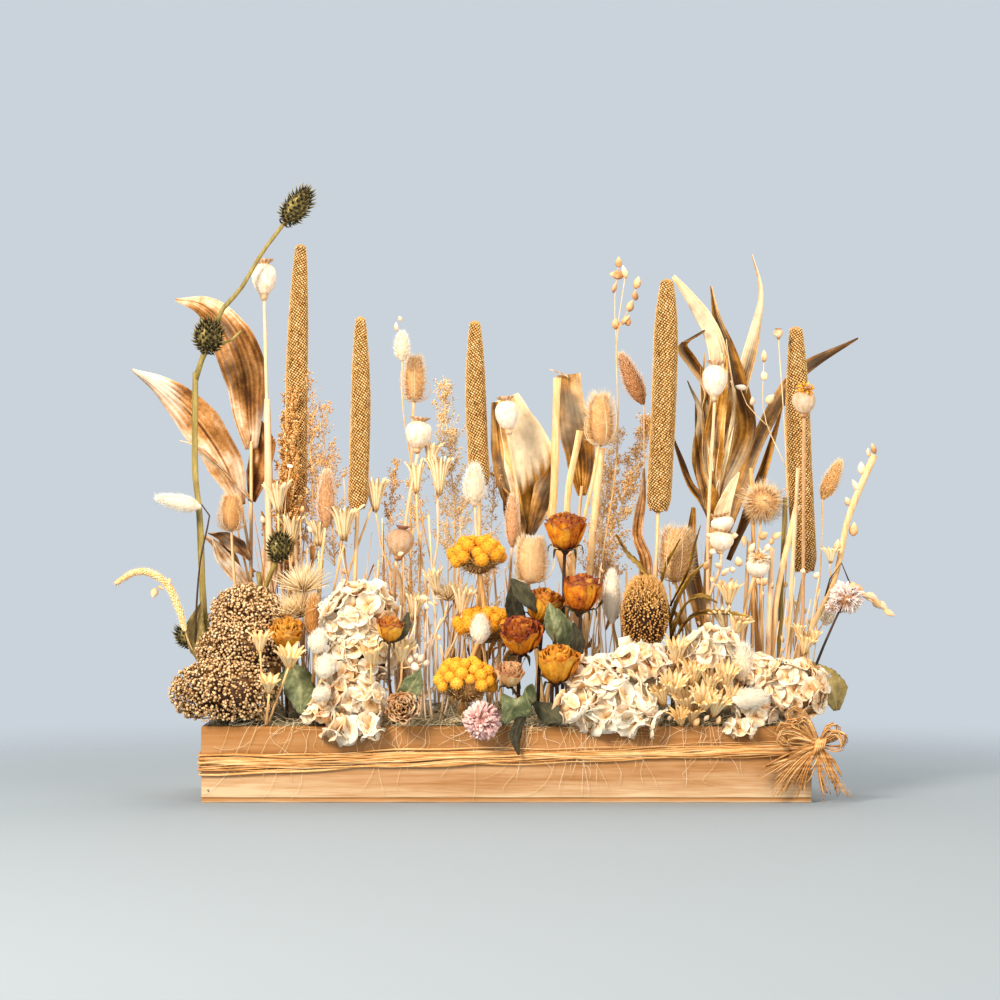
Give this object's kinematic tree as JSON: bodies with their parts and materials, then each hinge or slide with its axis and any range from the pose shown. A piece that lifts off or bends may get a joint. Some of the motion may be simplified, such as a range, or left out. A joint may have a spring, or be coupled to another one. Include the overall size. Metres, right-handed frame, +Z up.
{
  "type": "floral table centerpiece",
  "caption": "Long wooden trough filled with foam and moss, holding upright dried flowers, grasses, seed heads and leaves, tied with a raffia bow.",
  "frame": {"origin": "middle of the trough's underside, on the surface it stands on", "axes": "+X along the trough to the right seen from the front, -Y to the front, +Z up"},
  "size_m": [0.7767, 0.1741, 0.6218],
  "materials": {
    "wood": "pale raw pine board with soft grain",
    "foam": "dry florist foam, hidden",
    "moss": "grey green moss with pale sisal fibres",
    "raffia": "dry raffia, satin",
    "millet_grain": "dense matt golden grains",
    "thorn_apple": "olive stem and dark green spiny pods",
    "poppy_capsule": "matt cream capsules",
    "tan_leaf": "dried leaf, satin tan",
    "corn_husk": "dried husk, satin gold and brown",
    "teasel": "bristly, matt",
    "bunny_tail": "soft hairs, matt",
    "rose_petal": "dried petals, orange with dark rims",
    "pale_rose": "dried petals, pale peach",
    "rose_twig": "dark twigs with grey green leaves",
    "mustard_ball": "matt mustard yellow balls",
    "banksia_cone": "golden bristles over a dark cone",
    "banksia_leaf": "olive brown leaf, satin",
    "hydrangea_petal": "cream petals, matt",
    "yarrow_bud": "tiny beige balls, matt",
    "pink_bract": "papery pink bracts",
    "funnel_pod": "ribbed papery funnels, straw colour",
    "star_pod": "pale yellow horned pods",
    "straw": "dry straw, satin"
  },
  "bodies": {
    "root": {"box_base": "wood", "box_front": "wood", "box_back": "wood", "box_end_left": "wood", "box_end_right": "wood", "floral_foam": "foam", "moss_bed": "moss", "raffia_tie": "raffia", "millet_1": "millet_grain", "millet_2": "millet_grain", "millet_3": "millet_grain", "millet_4": "millet_grain", "millet_5": "millet_grain", "datura_branch": "thorn_apple", "poppy_left": "poppy_capsule", "poppy_pair_left": "poppy_capsule", "poppy_centre": "poppy_capsule", "poppy_pair_right": "poppy_capsule", "poppy_far_right": "poppy_capsule", "leaf_pair_left": "tan_leaf", "leaf_pair_centre": "tan_leaf", "corn_husk": "corn_husk", "teasel_left": "teasel", "teasel_centre_left": "teasel", "teasel_pair_centre": "teasel", "teasel_pair_right": "teasel", "grass_far_left": "bunny_tail", "bunny_mid_left": "bunny_tail", "bunny_centre": "bunny_tail", "bunny_mid_right": "bunny_tail", "bunny_low_right": "bunny_tail", "bunny_far_right": "bunny_tail", "rose_stems": "rose_twig", "rose_bloom_1": "rose_petal", "rose_bloom_2": "rose_petal", "rose_bloom_3": "rose_petal", "rose_bloom_4": "rose_petal", "rose_bloom_5": "rose_petal", "rose_small_left": "pale_rose", "rose_small_pair": "pale_rose", "lonas_bunch": "mustard_ball", "banksia_head": "banksia_cone", "banksia_leaves": "banksia_leaf", "hydrangea_left": "hydrangea_petal", "hydrangea_centre": "hydrangea_petal", "hydrangea_right": "hydrangea_petal", "yarrow_bunch": "yarrow_bud", "strawflower_front": "pink_bract", "strawflower_right": "pink_bract", "nigella_left": "funnel_pod", "nigella_centre": "funnel_pod", "nigella_right": "funnel_pod", "star_pods_left": "star_pod", "star_pods_middle": "star_pod", "star_pods_right": "star_pod", "panicum_left": "straw", "panicum_centre": "straw", "panicum_right": "straw", "grass_centre": "straw", "grass_right": "straw"}
  },
  "joints": []
}
